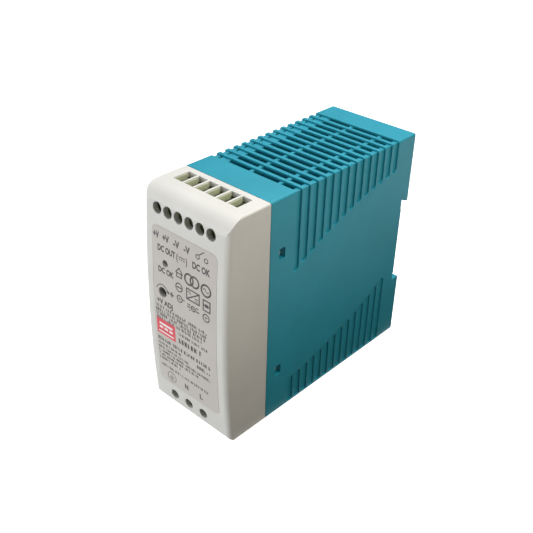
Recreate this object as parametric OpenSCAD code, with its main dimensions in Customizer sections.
// Slim power supply for a 35 mm mounting rail.
// Working coordinates inside the modules: x across the width with 0 in the middle, y from the
// foremost line of the bowed front to the back, z from the base up. place() moves the whole
// model so that its origin is the centre of the rail seat, with +Y towards the rail.

/* [Housing] */
// Overall width
body_w = 40; // [40:1:80]
// Overall height
body_h = 90; // [90:1:140]
// Overall depth from the bowed front to the back of the rail hooks
body_d = 100; // [100:1:150]
// Wall thickness of the rear case
case_wall = 2.2; // [2:0.1:3]
// Wall thickness of the front cover
cover_wall = 2.2; // [1.8:0.1:2.6]
// Radius of the long outer edges
edge_r = 0.8; // [0.3:0.1:1.5]
// Depth of the front cover
cover_d = 20.4; // [20:0.1:25]
// How far the front bulges between its upper and lower edge
front_bow = 2; // [1:0.1:3]
// Radius between the front and the sides of the cover
cover_side_r = 2.2; // [1:0.1:3]
// Radius between the front and the top of the cover
cover_top_r = 7; // [5:0.1:8]
// Radius between the front and the underside of the cover
cover_base_r = 4; // [3:0.1:6]

/* [Vents] */
// Distance from one vent groove to the next
vent_pitch = 4.18; // [3.5:0.01:6]
// Width of a vent groove
vent_w = 2.75; // [1.5:0.05:3]
// Depth of a vent groove
vent_depth = 0.7; // [0.5:0.05:1.4]
// Plain surface between the cover and the first groove
vent_front_gap = 12; // [10:0.5:20]
// Plain surface between the last groove and the back
vent_back_gap = 10.5; // [8:0.5:20]
// Length of the longest groove down the side
vent_long = 31.1; // [20:0.1:36]
// Length of the shortest groove down the side
vent_short = 12.4; // [8:0.1:20]
// Plain rim left along the two lower edges, so that the base edge runs straight
vent_rim = 1.05; // [0.95:0.05:1.3]
// Radius of the arc that the groove ends follow
vent_arc_r = 154.5; // [80:0.5:400]

/* [Terminals] */
// Pole pitch of the output terminal block
out_pitch = 5.08; // [5.08, 5]
// Pole pitch of the input terminal block
in_pitch = 7.62; // [7.62, 7.5]
// Sideways place of the middle of the output terminal block
out_x = -0.5; // [-0.6:0.1:0.6]
// Sideways place of the middle of the input terminal block
in_x = -0.9; // [-2:0.1:2]
// Depth of the output screws below the top
out_screw_depth = 7; // [6.4:0.1:7.6]
// Height of the input screws above the base
in_screw_depth = 6.2; // [6:0.1:7]
// Radius of a terminal screw head
head_r = 1.8; // [1.5:0.05:1.85]
// Radius of a terminal screw shank
shank_r = 1.25; // [1:0.05:1.5]
// Travel of a wire clamp from open to closed
clamp_travel = 2.6; // [1.5:0.1:2.6]
// Width of an output wire opening
out_port_w = 4.2; // [3.6:0.1:4.2]
// Width of an input wire opening
in_port_w = 5.2; // [4.2:0.1:5.6]
// Radius of a screwdriver hole over the output screws
out_hole_r = 2.08; // [1.9:0.01:2.2]
// Radius of a screwdriver hole over the input screws
in_hole_r = 1.95; // [1.9:0.01:2.4]

/* [Front panel] */
// Width of the label
label_w = 31.2; // [26:0.1:33]
// Height of the label's lower edge above the base
label_z0 = 10.8; // [10:0.1:16]
// Distance from the label's upper edge to the top
label_gap = 13.1; // [12:0.1:18]
// Corner radius of the label
label_r = 2.5; // [1:0.1:4]
// Sideways place of the indicator
led_x = -9.3; // [-12:0.1:12]
// Height of the indicator above the base
led_z = 63.6; // [40:0.1:70]
// Radius of the indicator hole
led_hole_r = 1.25; // [1:0.05:2]
// Sideways place of the voltage trimmer
trim_x = -11; // [-12:0.1:12]
// Height of the voltage trimmer above the base
trim_z = 51.4; // [40:0.1:60]
// Radius of the trimmer hole
trim_hole_r = 1.95; // [1.8:0.05:2.5]

/* [Rail mount] */
// Width of the mounting rail
rail_w = 35; // [35]
// Thickness of the mounting rail
rail_t = 1; // [1]
// Distance from the rail seat to the back of the hooks
seat_depth = 3.7; // [3:0.1:5]
// Travel of the latch from locked to open
latch_travel = 4; // [2:0.1:4]
// Width of the latch
latch_w = 16; // [12:0.5:20]
// Coil radius of the latch spring, to the middle of the wire
spring_r = 1.35; // [1:0.05:1.4]
// Wire radius of the latch spring
spring_wire_r = 0.22; // [0.15:0.01:0.3]

/* [Hidden] */

$fn = 64;
fine = 720;             // segments in a full turn of the very large front radius
fit_gap = 0.2;          // clearance between pieces that slide into each other
run_gap = 0.05;         // radial clearance of a shaft in its hole

half_w = body_w / 2;
mid_z = body_h / 2;
parting_gap = 0.15;     // dark line between cover and case
case_y = cover_d + parting_gap / 2;
cover_end = cover_d - parting_gap / 2;
bow_r = (mid_z * mid_z + front_bow * front_bow) / (2 * front_bow);

// Rail geometry
seat_y = body_d - seat_depth;
rail_z = mid_z + 0.7;
rail_top = rail_z + rail_w / 2;
rail_low = rail_z - rail_w / 2;
pad_relief = 0.3;       // the seat pad stands this far proud of the rest of the recess
pad_low = rail_low + 1.8;
pad_top = rail_top - 3.7;
hook_low = rail_low - 1.3;
back_inner = seat_y - pad_relief - case_wall;

// Latch geometry
channel_floor = seat_y - 0.3;
latch_wing = 1.9;       // thickness of the wide part that runs in the undercut
latch_wide = latch_w + 4;
latch_foot = 0.6;
abut_z = 6;             // underside of the lug that the spring stands on
abut_h = 2;
spring_len = 11;
spring_turns = 7;
spring_base = abut_z + abut_h;
spring_y = channel_floor + fit_gap + spring_r + spring_wire_r;

// Terminal geometry, with depths counted from the top or the base of the body
block_front = 4.2;
block_back = 18.4;
block_face = 2.5;
block_high = 13;
block_side = 0.4;
clamp_wall = 0.7;
clamp_front = 1;
clamp_half = 3;
head_front = 6.4;
head_len = 1.8;
clamp_rest = head_front + head_len + 0.15 + clamp_travel;
bar_y = clamp_rest + clamp_front + 0.75;
bar_t = 0.8;
clamp_back = block_back - 1.4;
bar_foot = 13;
port_y0 = 10.8;
port_y1 = 17.8;
out_n = 6;
in_n = 3;
out_clamp_w = out_pitch - 0.98;
in_clamp_w = in_pitch - 2.2;
bar_half = out_clamp_w / 2 - clamp_wall - 0.2;

// Boards
board_t = 1.6;
front_board_y = block_back + fit_gap;
hook_arm = 1.2;
front_board_half = half_w - cover_wall - 1.9;
main_board_x = -half_w + 4.6;
main_face = main_board_x + board_t;
main_y0 = cover_d + 2.4;
main_y1 = back_inner - 0.5;
main_z0 = case_wall + 0.3;
main_z1 = body_h - case_wall - 0.3;
rib_side = 1;

// Snap hooks
hook_z = [mid_z - 25.3, mid_z + 24.1];
window_y0 = cover_d + 4.55;
window_len = 2.95;
window_h = 4.2;

// Vent field
vent_y0 = cover_d + vent_front_gap + vent_w / 2;
vent_y1_max = body_d - vent_back_gap - vent_w / 2;
vent_n = floor((vent_y1_max - vent_y0) / vent_pitch) + 1;
vent_y1 = vent_y0 + (vent_n - 1) * vent_pitch;
vent_half = sqrt(pow(vent_y1 - vent_y0, 2) + pow(vent_long - vent_short, 2)) / 2;
vent_tilt = atan2(vent_long - vent_short, vent_y1 - vent_y0);
vent_drop = sqrt(vent_arc_r * vent_arc_r - vent_half * vent_half);
vent_cy = (vent_y0 + vent_y1) / 2 + vent_drop * sin(vent_tilt);
vent_cd = (vent_long + vent_short) / 2 + vent_drop * cos(vent_tilt);
function vent_y(i) = vent_y0 + i * vent_pitch;
function vent_reach(i) = vent_cd - sqrt(pow(vent_arc_r, 2) - pow(vent_cy - vent_y(i), 2));
// Through slots in the groove floors: between the spars that tie the ribs together
spar_w = 1.4;
slot_edge = half_w - 2.6;
guide_x0 = main_board_x - rib_side;
guide_x1 = main_face + rib_side;
slot_spans = [
    [-slot_edge, guide_x0 - 0.2],
    [guide_x1 + 0.2, -half_w * 0.13],
    [-half_w * 0.13 + spar_w, half_w * 0.53],
    [half_w * 0.53 + spar_w, slot_edge]
];

function pole_x(i, n, pitch, mid) = mid + (i - (n - 1) / 2) * pitch;
function bow_y(z) = bow_r - sqrt(bow_r * bow_r - (z - mid_z) * (z - mid_z));

// ---------------------------------------------------------------- helpers

module place() {
    translate([0, -seat_y, -rail_z]) children();
}

module block(x, y, z) {
    translate([x[0], y[0], z[0]]) cube([x[1] - x[0], y[1] - y[0], z[1] - z[0]]);
}

module rod_x(r, x, y, z) {
    translate([x[0], y, z]) rotate([0, 90, 0]) cylinder(r = r, h = x[1] - x[0]);
}

module rod_y(r, x, y, z) {
    translate([x, y[0], z]) rotate([-90, 0, 0]) cylinder(r = r, h = y[1] - y[0]);
}

module rod_z(r, x, y, z) {
    translate([x, y, z[0]]) cylinder(r = r, h = z[1] - z[0]);
}

// An outline drawn in y and z, extruded along x
module along_x(x) {
    translate([x[0], 0, 0]) rotate([90, 0, 90]) linear_extrude(height = x[1] - x[0]) children();
}

// An outline drawn in x and z, extruded along y
module along_y(y) {
    translate([0, y[1], 0]) rotate([90, 0, 0]) linear_extrude(height = y[1] - y[0]) children();
}

module rounded(x, y, r) {
    translate([x[0] + r, y[0]]) square([x[1] - x[0] - 2 * r, y[1] - y[0]]);
    translate([x[0], y[0] + r]) square([x[1] - x[0], y[1] - y[0] - 2 * r]);
    for (cx = [x[0] + r, x[1] - r]) {
        for (cy = [y[0] + r, y[1] - r]) {
            translate([cx, cy]) circle(r = r);
        }
    }
}

// Depth measured from the top (upper row) or from the base (lower row)
module from_face(upper) {
    if (upper) {
        translate([0, 0, body_h]) mirror([0, 0, 1]) children();
    } else {
        children();
    }
}

// ---------------------------------------------------------------- case

module case_outline(inset) {
    r = max(edge_r - inset, 0.2);
    rounded([-half_w + inset, half_w - inset], [inset, body_h - inset], r);
}

// One groove: across the face, and up or down both sides to a round end. It starts this far
// from the edge, or beyond it.
module vent_groove(y, reach, start) {
    block([-half_w + start, half_w - start], [y - vent_w / 2, y + vent_w / 2], [-1, vent_depth]);
    for (side = [-1, 1]) {
        x0 = side > 0 ? half_w - vent_depth : -half_w - 1;
        span = [x0, x0 + vent_depth + 1];
        block(span, [y - vent_w / 2, y + vent_w / 2], [start, reach - vent_w / 2]);
        rod_x(vent_w / 2, span, y, reach - vent_w / 2);
    }
}

module vent_cuts(upper) {
    from_face(upper) {
        for (i = [0 : vent_n - 1]) {
            y = vent_y(i);
            reach = vent_reach(upper ? i : vent_n - 1 - i);
            vent_groove(y, reach, upper ? -1 : vent_rim);
            for (s = slot_spans) {
                block(s, [y - vent_w / 2, y + vent_w / 2], [vent_depth - 0.1, case_wall + 0.1]);
            }
        }
    }
}

module board_guide(upper) {
    from_face(upper) {
        difference() {
            block([guide_x0, guide_x1], [main_y0 + 0.8, back_inner + 0.2], [case_wall - 0.1, case_wall + 2.4]);
            block(
                [main_board_x - 0.1, main_face + 0.1],
                [main_y0, back_inner + 1],
                [case_wall + 0.1, case_wall + 3]
            );
        }
    }
}

// Everything behind the seat: the recess that takes the rail, drawn in y and z
module rail_recess_outline() {
    far = body_d + 5;
    polygon([
        [seat_y - pad_relief, hook_low],
        [far, hook_low],
        [far, rail_top - 1.2 - 0.34 * (far - body_d)],
        [body_d, rail_top - 1.2],
        [seat_y + rail_t + 0.2, rail_top - 0.4],
        [seat_y + rail_t + 0.2, rail_top + 0.2],
        [seat_y - pad_relief, rail_top + 0.2]
    ]);
}

module latch_channel() {
    narrow = latch_w / 2 + fit_gap;
    wide = latch_wide / 2 + fit_gap;
    block([-narrow, narrow], [channel_floor, body_d + 1], [-1, hook_low + 1]);
    block([-wide, wide], [channel_floor, channel_floor + latch_wing + 2 * fit_gap], [-1, hook_low + 1]);
}

module case() {
    place() color("#4fb3c6") {
        difference() {
            along_y([case_y, body_d]) case_outline(0);
            along_y([case_y - 1, back_inner]) case_outline(case_wall);
            // hollow behind the upper hook
            block(
                [-half_w + case_wall, half_w - case_wall],
                [back_inner - 1, body_d - case_wall],
                [rail_top + 2.6, body_h - case_wall]
            );
            along_x([-half_w - 1, half_w + 1]) rail_recess_outline();
            latch_channel();
            vent_cuts(true);
            vent_cuts(false);
            for (z = hook_z) {
                block(
                    [-half_w - 1, half_w + 1],
                    [window_y0, window_y0 + window_len],
                    [z - window_h / 2, z + window_h / 2]
                );
            }
        }
        // seat pad
        block([-half_w, half_w], [seat_y - pad_relief - 0.5, seat_y], [pad_low, pad_top]);
        // lug that the latch spring stands on
        block([-2.2, 2.2], [channel_floor - 0.2, channel_floor + 2.8], [abut_z, abut_z + abut_h]);
        board_guide(true);
        board_guide(false);
    }
}

// ---------------------------------------------------------------- cover

// Plan outline of the cover, measured outwards from the centre of the front bow
plan_depth = cover_d + front_bow + 10;

module cover_plan(inset) {
    r = max(cover_side_r - inset, 0.3);
    edge = half_w - inset;
    outer = bow_r - inset;
    translate([outer - plan_depth, -edge]) square([plan_depth - r, 2 * edge]);
    translate([outer - plan_depth, -edge + r]) square([plan_depth, 2 * edge - 2 * r]);
    for (s = [-1, 1]) {
        translate([outer - r, s * (edge - r)]) circle(r = r);
    }
}

// Centre of the radius that joins the bow to the top or the base. It sits a hair further out
// than a tangent one, so that the two curves cross cleanly instead of only touching.
function corner_y(z, radius) = bow_r - sqrt(pow(bow_r - radius, 2) - pow(z - mid_z, 2)) - 0.06;

// Side outline of the cover
module cover_corner(z, up, radius) {
    cy = corner_y(z, radius);
    lean = atan2(z - mid_z, bow_r - cy);
    polygon([
        [cy, z],
        [cy - 60 * cos(lean), z + 60 * sin(lean)],
        [-60, z + up * 60],
        [cy, z + up * 60]
    ]);
}

module cover_disc(z, radius, inset) {
    translate([corner_y(z, radius), z]) circle(r = radius - inset);
}

module cover_side(inset, back) {
    difference() {
        translate([-20, inset]) square([20 + back, body_h - 2 * inset]);
        cover_corner(body_h - cover_top_r, 1, cover_top_r);
        cover_corner(cover_base_r, -1, cover_base_r);
    }
    cover_disc(body_h - cover_top_r, cover_top_r, inset);
    cover_disc(cover_base_r, cover_base_r, inset);
}

module cover_form(inset, back) {
    half_turn = asin((mid_z + 8) / (bow_r - plan_depth));
    intersection() {
        translate([0, bow_r, mid_z]) rotate([0, 90, 0]) rotate([0, 0, -90 - half_turn])
            rotate_extrude(angle = 2 * half_turn, $fn = fine) cover_plan(inset);
        along_x([-half_w - 1, half_w + 1]) cover_side(inset, back);
        along_y([-1, back + 1]) case_outline(inset);
    }
}

// A skin that follows the bow between two depths under the front surface
module bow_skin(depth0, depth1) {
    difference() {
        translate([-half_w, bow_r, mid_z]) rotate([0, 90, 0])
            cylinder(r = bow_r - depth0, h = body_w, $fn = fine);
        translate([-half_w - 1, bow_r, mid_z]) rotate([0, 90, 0])
            cylinder(r = bow_r - depth1, h = body_w + 2, $fn = fine);
    }
}

module label_area(margin) {
    along_y([-2, 8]) rounded(
        [-label_w / 2 + margin, label_w / 2 - margin],
        [label_z0 + margin, body_h - label_gap - margin],
        label_r - margin
    );
}

module screw_holes(upper, n, pitch, mid, depth, r) {
    from_face(upper) {
        for (i = [0 : n - 1]) {
            rod_y(r, pole_x(i, n, pitch, mid), [-1, block_front + 2], depth);
        }
    }
}

module wire_windows(upper, n, pitch, mid, w) {
    from_face(upper) {
        for (i = [0 : n - 1]) {
            x = pole_x(i, n, pitch, mid);
            block([x - w / 2, x + w / 2], [port_y0, port_y1], [-1, cover_wall + 0.2]);
        }
    }
}

module snap_hook(side, z) {
    bump_x = half_w - 1.1;
    arm_x = half_w - case_wall - fit_gap;
    width = window_h - 0.4;
    mirror([side < 0 ? 1 : 0, 0, 0]) translate([0, 0, z - width / 2]) {
        linear_extrude(height = width) polygon([
            [arm_x - hook_arm, cover_end - 4],
            [half_w - cover_wall + 0.3, cover_end - 4],
            [half_w - cover_wall + 0.3, cover_end - 0.5],
            [arm_x, cover_end - 0.5],
            [arm_x, window_y0 + 0.15],
            [bump_x, window_y0 + 0.15],
            [arm_x, window_y0 + window_len + 0.3],
            [arm_x - 0.4, window_y0 + window_len + 0.8],
            [arm_x - hook_arm, window_y0 + window_len + 0.8]
        ]);
    }
}

module cover_tongue() {
    difference() {
        along_y([cover_end - 1, cover_end + 2]) case_outline(case_wall + fit_gap);
        along_y([cover_end - 2, cover_end + 3]) case_outline(case_wall + fit_gap + 1);
    }
}

module front_cover() {
    place() color("#dededb") {
        difference() {
            cover_form(0, cover_end);
            cover_form(cover_wall, cover_end + 1);
            intersection() {
                bow_skin(-1, 0.25);
                label_area(0);
            }
            screw_holes(true, out_n, out_pitch, out_x, out_screw_depth, out_hole_r);
            screw_holes(false, in_n, in_pitch, in_x, in_screw_depth, in_hole_r);
            wire_windows(true, out_n, out_pitch, out_x, out_port_w);
            wire_windows(false, in_n, in_pitch, in_x, in_port_w);
            rod_y(led_hole_r, led_x, [-1, 5], led_z);
            rod_y(trim_hole_r, trim_x, [-1, 5], trim_z);
        }
        cover_tongue();
        for (side = [-1, 1]) {
            for (z = hook_z) {
                snap_hook(side, z);
            }
        }
    }
}

module front_label() {
    place() color("#c9c4bd") difference() {
        intersection() {
            bow_skin(0.1, 0.24);
            label_area(0.15);
        }
        rod_y(led_hole_r + 0.1, led_x, [-1, 5], led_z);
        rod_y(trim_hole_r + 0.1, trim_x, [-1, 5], trim_z);
    }
}

// ---------------------------------------------------------------- terminals

module block_side_outline(corner_r) {
    difference() {
        translate([block_front, block_face]) square([block_back - block_front, block_high]);
        translate([block_front - 1, block_face - 1]) square([corner_r + 1, corner_r + 1]);
    }
    translate([block_front + corner_r, block_face + corner_r]) circle(r = corner_r);
}

module terminal_housing(upper, n, pitch, mid, depth, clamp_w, port_w, corner_r) {
    half = n * pitch / 2 + block_side;
    room = clamp_w / 2 + fit_gap / 2;
    from_face(upper) difference() {
        along_x([mid - half, mid + half]) block_side_outline(corner_r);
        for (i = [0 : n - 1]) {
            x = pole_x(i, n, pitch, mid);
            // way in for the screwdriver, a lip that keeps the screw in, and the head's pocket
            rod_y(head_r + 0.15, x, [block_front - 1, head_front - 0.7], depth);
            rod_y(head_r - 0.2, x, [block_front - 1, head_front], depth);
            rod_y(head_r + 0.15, x, [head_front - 0.1, head_front + head_len + 0.1], depth);
            // room for the clamp over its whole travel
            block(
                [x - room, x + room],
                [head_front + head_len + 0.05, clamp_back + fit_gap],
                [depth - clamp_half - fit_gap, depth + clamp_half + fit_gap]
            );
            // wire entry
            block(
                [x - port_w / 2, x + port_w / 2],
                [port_y0 + fit_gap, port_y1 - 0.6],
                [block_face - 1, depth - clamp_half]
            );
            // way out for the contact pin
            block(
                [x - bar_half - fit_gap, x + bar_half + fit_gap],
                [bar_y - fit_gap, bar_y + bar_t + fit_gap],
                [depth, bar_foot + 1 + fit_gap]
            );
            block([x - 0.6, x + 0.6], [bar_y, block_back + 1], [bar_foot - 0.1, bar_foot + 1.1]);
        }
    }
}

module contact_bars(upper, n, pitch, mid, depth) {
    from_face(upper) {
        for (i = [0 : n - 1]) {
            x = pole_x(i, n, pitch, mid);
            block([x - bar_half, x + bar_half], [bar_y, bar_y + bar_t], [depth - clamp_half + 0.3, bar_foot + 1]);
            block([x - 0.5, x + 0.5], [bar_y, front_board_y + board_t + 1.4], [bar_foot, bar_foot + 1]);
        }
    }
}

module terminal_screw(upper, x, depth) {
    from_face(upper) difference() {
        union() {
            rod_y(head_r, x, [head_front, head_front + head_len], depth);
            rod_y(shank_r, x, [head_front + head_len - 0.1, bar_y - 0.05], depth);
        }
        block([x - head_r - 1, x + head_r + 1], [head_front - 1, head_front + 0.9], [depth - 0.3, depth + 0.3]);
        block([x - 0.3, x + 0.3], [head_front - 1, head_front + 0.8], [depth - 1.3, depth + 1.3]);
    }
}

module wire_clamp(upper, x, depth, w) {
    from_face(upper) difference() {
        block([x - w / 2, x + w / 2], [clamp_rest, clamp_back], [depth - clamp_half, depth + clamp_half]);
        block(
            [x - w / 2 + clamp_wall, x + w / 2 - clamp_wall],
            [clamp_rest + clamp_front, clamp_back - clamp_wall],
            [depth - clamp_half - 1, depth + clamp_half + 1]
        );
        rod_y(shank_r + run_gap, x, [clamp_rest - 1, clamp_rest + clamp_front + 0.5], depth);
    }
}

module output_terminal_housing() {
    place() color("#a9bd8c") terminal_housing(
        true, out_n, out_pitch, out_x, out_screw_depth, out_clamp_w, out_port_w, cover_top_r - cover_wall - 0.3
    );
}

module input_terminal_housing() {
    place() color("#a9bd8c") terminal_housing(
        false, in_n, in_pitch, in_x, in_screw_depth, in_clamp_w, in_port_w, cover_base_r - cover_wall - 0.2
    );
}

module output_contacts() {
    place() color("#c9b27a") contact_bars(true, out_n, out_pitch, out_x, out_screw_depth);
}

module input_contacts() {
    place() color("#c9b27a") contact_bars(false, in_n, in_pitch, in_x, in_screw_depth);
}

module output_screw(i) {
    place() color("#c8ccd0") terminal_screw(true, pole_x(i - 1, out_n, out_pitch, out_x), out_screw_depth);
}

module input_screw(i) {
    place() color("#c8ccd0") terminal_screw(false, pole_x(i - 1, in_n, in_pitch, in_x), in_screw_depth);
}

module output_clamp(i) {
    place() color("#d8c98a")
        wire_clamp(true, pole_x(i - 1, out_n, out_pitch, out_x), out_screw_depth, out_clamp_w);
}

module input_clamp(i) {
    place() color("#d8c98a")
        wire_clamp(false, pole_x(i - 1, in_n, in_pitch, in_x), in_screw_depth, in_clamp_w);
}

// ---------------------------------------------------------------- boards

module pin_holes(upper, n, pitch, mid) {
    from_face(upper) {
        for (i = [0 : n - 1]) {
            x = pole_x(i, n, pitch, mid);
            block([x - 0.6, x + 0.6], [front_board_y - 1, front_board_y + board_t + 1], [bar_foot - 0.1, bar_foot + 1.1]);
        }
    }
}

header_n = 10;
header_pitch = 2.54;
header_x = main_face + 1.3;
function header_z(i) = mid_z - 13 + (i - (header_n - 1) / 2) * header_pitch;

module front_board() {
    place() color("#2f6b3c") difference() {
        block(
            [-front_board_half, front_board_half],
            [front_board_y, front_board_y + board_t],
            [cover_wall + 1.2, body_h - cover_wall - 1.2]
        );
        pin_holes(true, out_n, out_pitch, out_x);
        pin_holes(false, in_n, in_pitch, in_x);
        for (i = [0 : header_n - 1]) {
            rod_y(0.45, header_x, [front_board_y - 1, front_board_y + board_t + 1], header_z(i));
        }
    }
}

module main_board() {
    place() color("#2f6b3c") block([main_board_x, main_face], [main_y0, main_y1], [main_z0, main_z1]);
}

module board_header() {
    place() color("#222222") {
        block(
            [main_face, main_face + 2.6],
            [main_y0 + 0.3, main_y0 + 2.8],
            [header_z(0) - 1.3, header_z(header_n - 1) + 1.3]
        );
        for (i = [0 : header_n - 1]) {
            rod_y(0.32, header_x, [front_board_y - 1.2, main_y0 + 1], header_z(i));
        }
    }
}

module insulation_sheet() {
    place() color("#e8e2c8") block(
        [-half_w + case_wall + 0.3, -half_w + case_wall + 0.55],
        [main_y0 + 9, main_y1],
        [case_wall + 3, body_h - case_wall - 3]
    );
}

// ---------------------------------------------------------------- indicator and trimmer

trim_len = 4.8;
trim_size = 6.6;
trim_shaft_r = 1.6;
trim_tip = 2.6;

module trimmer_body() {
    place() color("#2b4ea0") difference() {
        block(
            [trim_x - 3, trim_x - 3 + trim_size],
            [front_board_y - trim_len, front_board_y],
            [trim_z - trim_size / 2, trim_z + trim_size / 2]
        );
        rod_y(trim_shaft_r + run_gap, trim_x, [front_board_y - trim_len - 1, front_board_y - 1.6], trim_z);
    }
}

module trimmer_rotor() {
    place() color("#3a3a3a") difference() {
        union() {
            rod_y(trim_shaft_r, trim_x, [trim_tip, front_board_y - 1.8], trim_z);
            rod_y(2.4, trim_x, [front_board_y - trim_len - 1.1, front_board_y - trim_len - 0.2], trim_z);
        }
        block(
            [trim_x - 0.3, trim_x + 0.3],
            [trim_tip - 1, trim_tip + 1],
            [trim_z - trim_shaft_r - 1, trim_z + trim_shaft_r + 1]
        );
    }
}

led_r = 1.5;
led_tip = 12.9;
pipe_tip = 1.7;

module status_led() {
    place() color("#7fae6a") {
        rod_y(led_r, led_x, [led_tip + led_r, front_board_y - 0.9], led_z);
        rod_y(led_r + 0.35, led_x, [front_board_y - 1, front_board_y], led_z);
        translate([led_x, led_tip + led_r, led_z]) sphere(r = led_r);
    }
}

module light_pipe() {
    flange = bow_y(led_z) + cover_wall + 0.15;
    place() color("#c7d2cf") {
        rod_y(led_hole_r - 0.1, led_x, [pipe_tip, led_tip - 0.3], led_z);
        rod_y(led_hole_r + 0.7, led_x, [flange, flange + 1], led_z);
    }
}

// ---------------------------------------------------------------- rail latch

latch_y0 = channel_floor + fit_gap;
latch_y1 = body_d - 0.2;
latch_tip = rail_low + 1.5;

module rail_latch() {
    hook_y = seat_y + rail_t + 0.15;
    place() color("#e6e6e2") difference() {
        union() {
            // wide plate that runs in the undercut
            block([-latch_wide / 2, latch_wide / 2], [latch_y0, latch_y0 + latch_wing], [latch_foot, 22]);
            // narrow body, up to just under the rail
            block([-latch_w / 2, latch_w / 2], [latch_y0, latch_y1], [latch_foot, hook_low - 0.6]);
            // hook behind the lower edge of the rail, with a lead-in slope
            along_x([-latch_w / 2, latch_w / 2]) polygon([
                [hook_y, hook_low - 1],
                [latch_y1, hook_low - 1],
                [latch_y1, rail_low - 0.2],
                [hook_y + 0.9, latch_tip],
                [hook_y, latch_tip]
            ]);
        }
        // pocket for the lug and the spring; its lower end rests under the lug when locked
        block([-2.4, 2.4], [latch_y0 - 1, latch_y0 + 3.2], [abut_z - 0.15, spring_base + spring_len]);
        // slot for a screwdriver
        block([-3.2, 3.2], [latch_y0 - 1, latch_y1 + 1], [latch_foot + 1.4, latch_foot + 3]);
        // finger grooves
        for (k = [0 : 2]) {
            rod_x(0.35, [-latch_w / 2 - 1, latch_w / 2 + 1], latch_y1 + 0.1, 21 - 1.8 * k);
        }
    }
}

coil_sides = 8;
coil_steps = 16;
// Points of the coil's wire: rings of the wire's section along a helix with flat end turns
function coil_lift(t) = spring_wire_r + (spring_len - 2 * spring_wire_r) * t;
function coil_ring(k) = let (
    steps = spring_turns * coil_steps,
    t = k / steps,
    turn = 360 * spring_turns * t,
    cx = spring_r * cos(turn),
    cy = spring_r * sin(turn)
) [
    for (j = [0 : coil_sides - 1])
        let (a = 360 * j / coil_sides, out = spring_wire_r * cos(a))
            [cx + out * cos(turn), cy + out * sin(turn), coil_lift(t) + spring_wire_r * sin(a)]
];

module coil() {
    steps = spring_turns * coil_steps;
    points = [for (k = [0 : steps]) each coil_ring(k)];
    quads = [
        for (k = [0 : steps - 1])
            for (j = [0 : coil_sides - 1])
                let (a = k * coil_sides + j, b = k * coil_sides + (j + 1) % coil_sides)
                    [a, a + coil_sides, b + coil_sides, b]
    ];
    ends = [
        [for (j = [0 : coil_sides - 1]) j],
        [for (j = [coil_sides - 1 : -1 : 0]) steps * coil_sides + j]
    ];
    polyhedron(points = points, faces = concat(quads, ends), convexity = 6);
}

module latch_spring() {
    place() color("#b8bcc0") translate([0, spring_y, spring_base]) coil();
}

// ---------------------------------------------------------------- parts on the main board
// Each stands on the board's face, so its height runs along x.

bulk_r = 9;
bulk_z = case_wall + 3 + bulk_r;
bulk_y = [main_y1 - 33, main_y1 - 1];
trafo_y = main_y1 - 26;
trafo_z = mid_z - 2;
trafo_x = main_face + 12;
trafo_leg_r = 4.2;
trafo_half_y = 12.5;
trafo_half_z = 10.5;
trafo_t = 4.5;
trafo_window = 9;
trafo_winding_z = 6.4;

module trafo_half(up) {
    lo = up ? 0.05 : -trafo_half_z;
    hi = up ? trafo_half_z : -0.05;
    inner_lo = up ? -1 : -trafo_half_z + 3.2;
    inner_hi = up ? trafo_half_z - 3.2 : 1;
    difference() {
        block([-trafo_t, trafo_t], [-trafo_half_y, trafo_half_y], [lo, hi]);
        block([-trafo_t - 1, trafo_t + 1], [-trafo_window, trafo_window], [inner_lo, inner_hi]);
    }
    rod_z(trafo_leg_r, 0, 0, [lo, hi]);
}

module transformer_core() {
    place() color("#3b3d40") translate([trafo_x, trafo_y, trafo_z]) {
        trafo_half(true);
        trafo_half(false);
    }
}

module transformer_bobbin() {
    flange = 0.7;
    place() color("#23262a") translate([trafo_x, trafo_y, trafo_z]) {
        difference() {
            union() {
                rod_z(trafo_leg_r + 0.8, 0, 0, [-trafo_winding_z - flange, trafo_winding_z + flange]);
                for (z = [-trafo_winding_z - flange, trafo_winding_z]) {
                    rod_z(trafo_window - 0.2, 0, 0, [z, z + flange]);
                }
            }
            rod_z(trafo_leg_r + 0.1, 0, 0, [-trafo_half_z, trafo_half_z]);
        }
        // pin rails down to the board
        for (z = [-trafo_winding_z - flange, trafo_winding_z]) {
            block([main_face - trafo_x, -6], [-8, 8], [z, z + flange]);
        }
    }
}

module transformer_winding() {
    place() color("#d9a520") translate([trafo_x, trafo_y, trafo_z]) difference() {
        rod_z(trafo_window - 0.5, 0, 0, [-trafo_winding_z + 0.05, trafo_winding_z - 0.05]);
        rod_z(trafo_leg_r + 0.85, 0, 0, [-trafo_winding_z, trafo_winding_z]);
    }
}

module bulk_capacitor() {
    place() color("#20242c") difference() {
        rod_y(bulk_r, main_face + bulk_r + 0.4, bulk_y, bulk_z);
        // rolled groove near the lead end
        translate([main_face + bulk_r + 0.4, bulk_y[0] + 3, bulk_z]) rotate([90, 0, 0])
            rotate_extrude() translate([bulk_r + 0.2, 0]) circle(r = 0.7, $fn = 24);
    }
}

out_cap_y = [for (k = [0 : 2]) main_y0 + 16 + 11.2 * k];
out_cap_z = body_h - case_wall - 8.6;

module output_capacitors() {
    place() color("#1f2a44") for (y = out_cap_y) {
        rod_x(5, [main_face + 0.2, main_face + 20], y, out_cap_z);
    }
}

module x_capacitor() {
    place() color("#e0b830") block(
        [main_face + 0.2, main_face + 13],
        [main_y0 + 3.5, main_y0 + 21],
        [case_wall + 12, case_wall + 18.5]
    );
}

module y_capacitors() {
    place() color("#3f7fc4") for (z = [case_wall + 3.5, case_wall + 8]) {
        rod_z(3.6, main_face + 4.2, main_y0 + 33, [z, z + 2.6]);
    }
}

choke_y = main_y0 + 13;
choke_z = case_wall + 27.5;
choke_half = 4;

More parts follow.
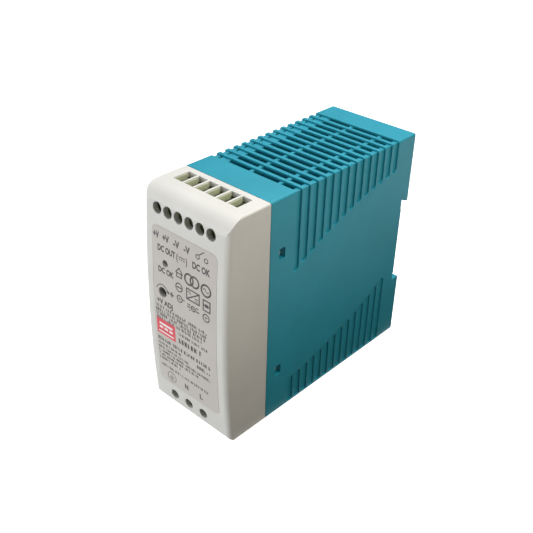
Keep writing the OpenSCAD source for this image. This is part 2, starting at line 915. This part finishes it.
module ring_part(r0, r1, half) {
    difference() {
        rod_x(r1, [-half, half], 0, 0);
        rod_x(r0, [-half - 1, half + 1], 0, 0);
    }
}

// Winding lobes on the two sides of a ring core
module ring_winding(r0, r1, half, wire, core_gap) {
    intersection() {
        difference() {
            ring_part(r0 - wire, r1 + wire, half + wire);
            ring_part(r0 - core_gap, r1 + core_gap, half + core_gap);
        }
        for (s = [-1, 1]) {
            z = s > 0 ? [1.6, r1 + 3] : [-r1 - 3, -1.6];
            block([-half - 3, half + 3], [-r1 - 3, r1 + 3], z);
        }
    }
}

module choke_core() {
    place() color("#4a4d50") translate([main_face + 6, choke_y, choke_z]) ring_part(4, 7.4, choke_half - 0.8);
}

module choke_winding() {
    place() color("#b8652a") translate([main_face + 6, choke_y, choke_z])
        ring_winding(4, 7.4, choke_half - 0.8, 1.1, 0.05);
}

inductor_y = main_y1 - 10;
inductor_z = body_h - case_wall - 11;

module inductor_core() {
    place() color("#c9c23c") translate([main_face + 6, inductor_y, inductor_z]) ring_part(3.6, 7, choke_half - 0.6);
}

module inductor_winding() {
    place() color("#b8652a") translate([main_face + 6, inductor_y, inductor_z])
        ring_winding(3.6, 7, choke_half - 0.6, 1, 0.05);
}

fuse_y = [main_y0 + 4, main_y0 + 24];
fuse_z = case_wall + 6;
fuse_x = main_face + 5;

module fuse() {
    place() color("#dfe6e8") {
        rod_y(2.2, fuse_x, [fuse_y[0] + 1, fuse_y[1] - 1], fuse_z);
        rod_y(2.6, fuse_x, [fuse_y[0], fuse_y[0] + 5], fuse_z);
        rod_y(2.6, fuse_x, [fuse_y[1] - 5, fuse_y[1]], fuse_z);
    }
}

module fuse_clips() {
    place() color("#c8b560") for (y = [fuse_y[0] + 1.2, fuse_y[1] - 3.8]) {
        difference() {
            block([main_face, fuse_x + 1.6], [y, y + 2.6], [fuse_z - 3.2, fuse_z + 3.2]);
            rod_y(2.62, fuse_x, [y - 1, y + 4], fuse_z);
            block([fuse_x, fuse_x + 3], [y - 1, y + 4], [fuse_z - 2.4, fuse_z + 2.4]);
        }
    }
}

module thermistor() {
    place() color("#3c3f3a") rod_y(4.2, main_face + 4.8, [main_y0 + 27.5, main_y0 + 30.5], case_wall + 20);
}

module bridge_rectifier() {
    place() color("#1c1d1f") block(
        [main_face + 2, main_face + 16],
        [main_y0 + 33, main_y0 + 36.4],
        [case_wall + 14, case_wall + 29]
    );
}

primary_z = mid_z + 3;
primary_y = [main_y0 + 4, main_y0 + 27];
secondary_z = mid_z + 14;
secondary_y = [main_y1 - 32, main_y1 - 4];
sink_t = 2;
chip_t = 4.4;
chip_w = 10;
screw_lift = 19;

module heatsink(y, z) {
    difference() {
        block([main_face + 0.5, main_face + 25], y, [z, z + sink_t]);
        rod_z(1.6, main_face + screw_lift, (y[0] + y[1]) / 2, [z - 1, z + sink_t + 1]);
    }
    // turned-over top edge
    block([main_face + 23, main_face + 25], y, [z, z + 6]);
}

module power_chip(y, z) {
    mid = (y[0] + y[1]) / 2;
    difference() {
        union() {
            block([main_face + 5, main_face + 14.5], [mid - chip_w / 2, mid + chip_w / 2], [z - chip_t, z]);
            block([main_face + 14.4, main_face + 21], [mid - chip_w / 2, mid + chip_w / 2], [z - 1.3, z]);
        }
        rod_z(1.75, main_face + screw_lift, mid, [z - 3, z + 1]);
    }
    for (k = [-1, 0, 1]) {
        block([main_face, main_face + 5.1], [mid + k * 2.54 - 0.4, mid + k * 2.54 + 0.4], [z - 2.8, z - 2.2]);
    }
}

module primary_heatsink() {
    place() color("#b9bdc2") heatsink(primary_y, primary_z);
}

module primary_transistor() {
    place() color("#26282b") power_chip(primary_y, primary_z - 0.02);
}

module secondary_heatsink() {
    place() color("#b9bdc2") heatsink(secondary_y, secondary_z);
}

module output_rectifier() {
    place() color("#26282b") power_chip(secondary_y, secondary_z - 0.02);
}

module heatsink_screws() {
    place() color("#c8ccd0") for (p = [[primary_y, primary_z], [secondary_y, secondary_z]]) {
        y = (p[0][0] + p[0][1]) / 2;
        rod_z(1.45, main_face + screw_lift, y, [p[1] - 4, p[1] + sink_t + 0.1]);
        rod_z(2.7, main_face + screw_lift, y, [p[1] + sink_t + 0.02, p[1] + sink_t + 2]);
    }
}

module relay() {
    place() color("#e9e9e4") block(
        [main_face + 0.3, main_face + 15.5],
        [main_y0 + 1, main_y0 + 8.5],
        [body_h - case_wall - 20, body_h - case_wall - 6]
    );
}

module dip_chip(y, z, size) {
    block([main_face + 0.5, main_face + 3.8], [y, y + size[0]], [z, z + size[1]]);
    for (k = [0 : round(size[0] / 2.54) - 1]) {
        for (side = [-0.45, size[1] - 0.05]) {
            py = y + size[0] / 2 + (k - (round(size[0] / 2.54) - 1) / 2) * 2.54;
            block([main_face, main_face + 2.2], [py - 0.3, py + 0.3], [z + side, z + side + 0.5]);
        }
    }
}

module control_chips() {
    place() color("#1d1f21") {
        dip_chip(main_y0 + 6, mid_z + 8, [9.6, 6.3]);
        dip_chip(main_y0 + 22, mid_z + 8, [9.6, 6.3]);
    }
}

module optocouplers() {
    place() color("#2a2c30") for (k = [0, 1]) {
        dip_chip(main_y0 + 12 + 9 * k, mid_z + 17.6, [4.6, 6.3]);
    }
}

case();
front_cover();
front_label();
output_terminal_housing();
input_terminal_housing();
output_contacts();
input_contacts();
output_screw(1);  // output_screw_1
output_screw(2);  // output_screw_2
output_screw(3);  // output_screw_3
output_screw(4);  // output_screw_4
output_screw(5);  // output_screw_5
output_screw(6);  // output_screw_6
input_screw(1);  // input_screw_1
input_screw(2);  // input_screw_2
input_screw(3);  // input_screw_3
output_clamp(1);  // output_clamp_1
output_clamp(2);  // output_clamp_2
output_clamp(3);  // output_clamp_3
output_clamp(4);  // output_clamp_4
output_clamp(5);  // output_clamp_5
output_clamp(6);  // output_clamp_6
input_clamp(1);  // input_clamp_1
input_clamp(2);  // input_clamp_2
input_clamp(3);  // input_clamp_3
front_board();
main_board();
board_header();
insulation_sheet();
trimmer_body();
trimmer_rotor();
status_led();
light_pipe();
rail_latch();
latch_spring();
transformer_core();
transformer_bobbin();
transformer_winding();
bulk_capacitor();
output_capacitors();
x_capacitor();
y_capacitors();
choke_core();
choke_winding();
inductor_core();
inductor_winding();
fuse();
fuse_clips();
thermistor();
bridge_rectifier();
primary_heatsink();
primary_transistor();
secondary_heatsink();
output_rectifier();
heatsink_screws();
relay();
control_chips();
optocouplers();
